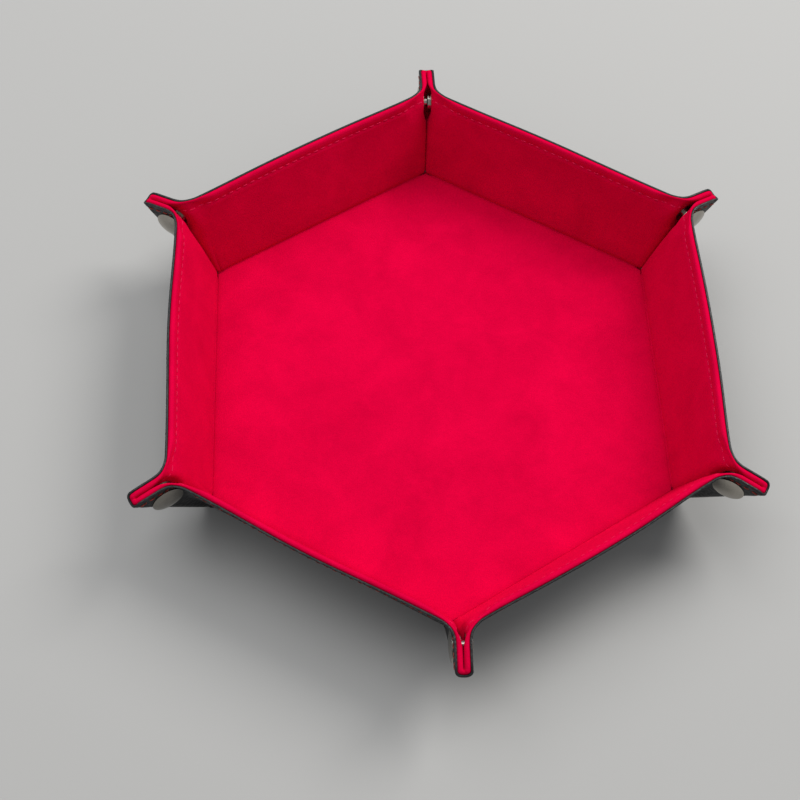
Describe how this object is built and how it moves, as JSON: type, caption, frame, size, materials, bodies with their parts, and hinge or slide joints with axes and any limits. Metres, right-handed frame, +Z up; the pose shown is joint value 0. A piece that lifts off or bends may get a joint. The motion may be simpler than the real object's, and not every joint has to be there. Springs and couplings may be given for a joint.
{
  "type": "folding dice tray",
  "caption": "Hexagonal folding tray lined with velvet: walls fold up from a stiff base and stay up by snap fasteners on pinched corner gussets.",
  "frame": {"origin": "centre of the underside, on the surface that the tray stands on", "axes": "+Z up out of the tray; +Y towards a corner, the longest way across; +X square to a flat side"},
  "size_m": [0.239, 0.2722, 0.04],
  "materials": {
    "leather": "fine pebble grain, semi-matte",
    "velvet": "short brushed pile",
    "board": "raw",
    "nickel": "satin nickel plate",
    "thread": "twisted polyester sewing thread"
  },
  "bodies": {
    "base": {"base_leather": "leather", "base_board": "board", "base_velvet": "velvet"},
    "wall_1": {"wall_leather_1": "leather", "wall_board_1": "board", "wall_velvet_1": "velvet"},
    "wall_2": {"wall_leather_2": "leather", "wall_board_2": "board", "wall_velvet_2": "velvet"},
    "wall_3": {"wall_leather_3": "leather", "wall_board_3": "board", "wall_velvet_3": "velvet"},
    "wall_4": {"wall_leather_4": "leather", "wall_board_4": "board", "wall_velvet_4": "velvet"},
    "wall_5": {"wall_leather_5": "leather", "wall_board_5": "board", "wall_velvet_5": "velvet"},
    "wall_6": {"wall_leather_6": "leather", "wall_board_6": "board", "wall_velvet_6": "velvet"},
    "gusset_1a": {"gusset_leather_1a": "leather", "gusset_velvet_1a": "velvet", "snap_socket_1": "nickel"},
    "gusset_1b": {"gusset_leather_1b": "leather", "gusset_velvet_1b": "velvet", "snap_stud_1": "nickel"},
    "gusset_2a": {"gusset_leather_2a": "leather", "gusset_velvet_2a": "velvet", "snap_socket_2": "nickel"},
    "gusset_2b": {"gusset_leather_2b": "leather", "gusset_velvet_2b": "velvet", "snap_stud_2": "nickel"},
    "gusset_3a": {"gusset_leather_3a": "leather", "gusset_velvet_3a": "velvet", "snap_socket_3": "nickel"},
    "gusset_3b": {"gusset_leather_3b": "leather", "gusset_velvet_3b": "velvet", "snap_stud_3": "nickel"},
    "gusset_4a": {"gusset_leather_4a": "leather", "gusset_velvet_4a": "velvet", "snap_socket_4": "nickel"},
    "gusset_4b": {"gusset_leather_4b": "leather", "gusset_velvet_4b": "velvet", "snap_stud_4": "nickel"},
    "gusset_5a": {"gusset_leather_5a": "leather", "gusset_velvet_5a": "velvet", "snap_socket_5": "nickel"},
    "gusset_5b": {"gusset_leather_5b": "leather", "gusset_velvet_5b": "velvet", "snap_stud_5": "nickel"},
    "gusset_6a": {"gusset_leather_6a": "leather", "gusset_velvet_6a": "velvet", "snap_socket_6": "nickel"},
    "gusset_6b": {"gusset_leather_6b": "leather", "gusset_velvet_6b": "velvet", "snap_stud_6": "nickel"}
  },
  "joints": [
    {"name": "wall_1_fold", "type": "hinge", "parent": "base", "child": "wall_1", "pos_m": [0.09185, 0, 0.0014], "axis": [0, 1, 0], "range_deg": [0, 71.5]},
    {"name": "wall_2_fold", "type": "hinge", "parent": "base", "child": "wall_2", "pos_m": [0.04593, 0.07954, 0.0014], "axis": [-0.866, 0.5, 0], "range_deg": [0, 71.5]},
    {"name": "wall_3_fold", "type": "hinge", "parent": "base", "child": "wall_3", "pos_m": [-0.04593, 0.07954, 0.0014], "axis": [-0.866, -0.5, 0], "range_deg": [0, 71.5]},
    {"name": "wall_4_fold", "type": "hinge", "parent": "base", "child": "wall_4", "pos_m": [-0.09185, 0, 0.0014], "axis": [0, -1, 0], "range_deg": [0, 71.5]},
    {"name": "wall_5_fold", "type": "hinge", "parent": "base", "child": "wall_5", "pos_m": [-0.04593, -0.07954, 0.0014], "axis": [0.866, -0.5, 0], "range_deg": [0, 71.5]},
    {"name": "wall_6_fold", "type": "hinge", "parent": "base", "child": "wall_6", "pos_m": [0.04593, -0.07954, 0.0014], "axis": [0.866, 0.5, 0], "range_deg": [0, 71.5]},
    {"name": "gusset_1_fold", "type": "hinge", "parent": "wall_1", "child": "gusset_1a", "pos_m": [0.09185, 0.05095, 0.0014], "axis": [0.3042, 0.1756, 0.9363], "range_deg": [0, 61.19]},
    {"name": "crease_1_fold", "type": "hinge", "parent": "gusset_1a", "child": "gusset_1b", "pos_m": [0.09272, 0.05353, 0.00102], "axis": [-0.5619, -0.3244, -0.761], "range_deg": [0, 178.76]},
    {"name": "gusset_2_fold", "type": "hinge", "parent": "wall_2", "child": "gusset_2a", "pos_m": [0.0018, 0.10502, 0.0014], "axis": [0, 0.3513, 0.9363], "range_deg": [0, 61.19]},
    {"name": "crease_2_fold", "type": "hinge", "parent": "gusset_2a", "child": "gusset_2b", "pos_m": [0, 0.10706, 0.00102], "axis": [0, -0.6488, -0.761], "range_deg": [0, 178.76]},
    {"name": "gusset_3_fold", "type": "hinge", "parent": "wall_3", "child": "gusset_3a", "pos_m": [-0.09005, 0.05407, 0.0014], "axis": [-0.3042, 0.1756, 0.9363], "range_deg": [0, 61.19]},
    {"name": "crease_3_fold", "type": "hinge", "parent": "gusset_3a", "child": "gusset_3b", "pos_m": [-0.09272, 0.05353, 0.00102], "axis": [0.5619, -0.3244, -0.761], "range_deg": [0, 178.76]},
    {"name": "gusset_4_fold", "type": "hinge", "parent": "wall_4", "child": "gusset_4a", "pos_m": [-0.09185, -0.05095, 0.0014], "axis": [-0.3042, -0.1756, 0.9363], "range_deg": [0, 61.19]},
    {"name": "crease_4_fold", "type": "hinge", "parent": "gusset_4a", "child": "gusset_4b", "pos_m": [-0.09272, -0.05353, 0.00102], "axis": [0.5619, 0.3244, -0.761], "range_deg": [0, 178.76]},
    {"name": "gusset_5_fold", "type": "hinge", "parent": "wall_5", "child": "gusset_5a", "pos_m": [-0.0018, -0.10502, 0.0014], "axis": [0, -0.3513, 0.9363], "range_deg": [0, 61.19]},
    {"name": "crease_5_fold", "type": "hinge", "parent": "gusset_5a", "child": "gusset_5b", "pos_m": [0, -0.10706, 0.00102], "axis": [0, 0.6488, -0.761], "range_deg": [0, 178.76]},
    {"name": "gusset_6_fold", "type": "hinge", "parent": "wall_6", "child": "gusset_6a", "pos_m": [0.09005, -0.05407, 0.0014], "axis": [0.3042, -0.1756, 0.9363], "range_deg": [0, 61.19]},
    {"name": "crease_6_fold", "type": "hinge", "parent": "gusset_6a", "child": "gusset_6b", "pos_m": [0.09272, -0.05353, 0.00102], "axis": [-0.5619, 0.3244, -0.761], "range_deg": [0, 178.76]}
  ],
  "couplings": [
    {"joint": "wall_2_fold", "follows": "wall_1_fold", "ratio": 1},
    {"joint": "wall_3_fold", "follows": "wall_1_fold", "ratio": 1},
    {"joint": "wall_4_fold", "follows": "wall_1_fold", "ratio": 1},
    {"joint": "wall_5_fold", "follows": "wall_1_fold", "ratio": 1},
    {"joint": "wall_6_fold", "follows": "wall_1_fold", "ratio": 1},
    {"joint": "gusset_1_fold", "follows": "wall_1_fold", "ratio": 0.85564},
    {"joint": "crease_1_fold", "follows": "wall_1_fold", "ratio": 2.5},
    {"joint": "gusset_2_fold", "follows": "wall_1_fold", "ratio": 0.85564},
    {"joint": "crease_2_fold", "follows": "wall_1_fold", "ratio": 2.5},
    {"joint": "gusset_3_fold", "follows": "wall_1_fold", "ratio": 0.85564},
    {"joint": "crease_3_fold", "follows": "wall_1_fold", "ratio": 2.5},
    {"joint": "gusset_4_fold", "follows": "wall_1_fold", "ratio": 0.85564},
    {"joint": "crease_4_fold", "follows": "wall_1_fold", "ratio": 2.5},
    {"joint": "gusset_5_fold", "follows": "wall_1_fold", "ratio": 0.85564},
    {"joint": "crease_5_fold", "follows": "wall_1_fold", "ratio": 2.5},
    {"joint": "gusset_6_fold", "follows": "wall_1_fold", "ratio": 0.85564},
    {"joint": "crease_6_fold", "follows": "wall_1_fold", "ratio": 2.5}
  ]
}
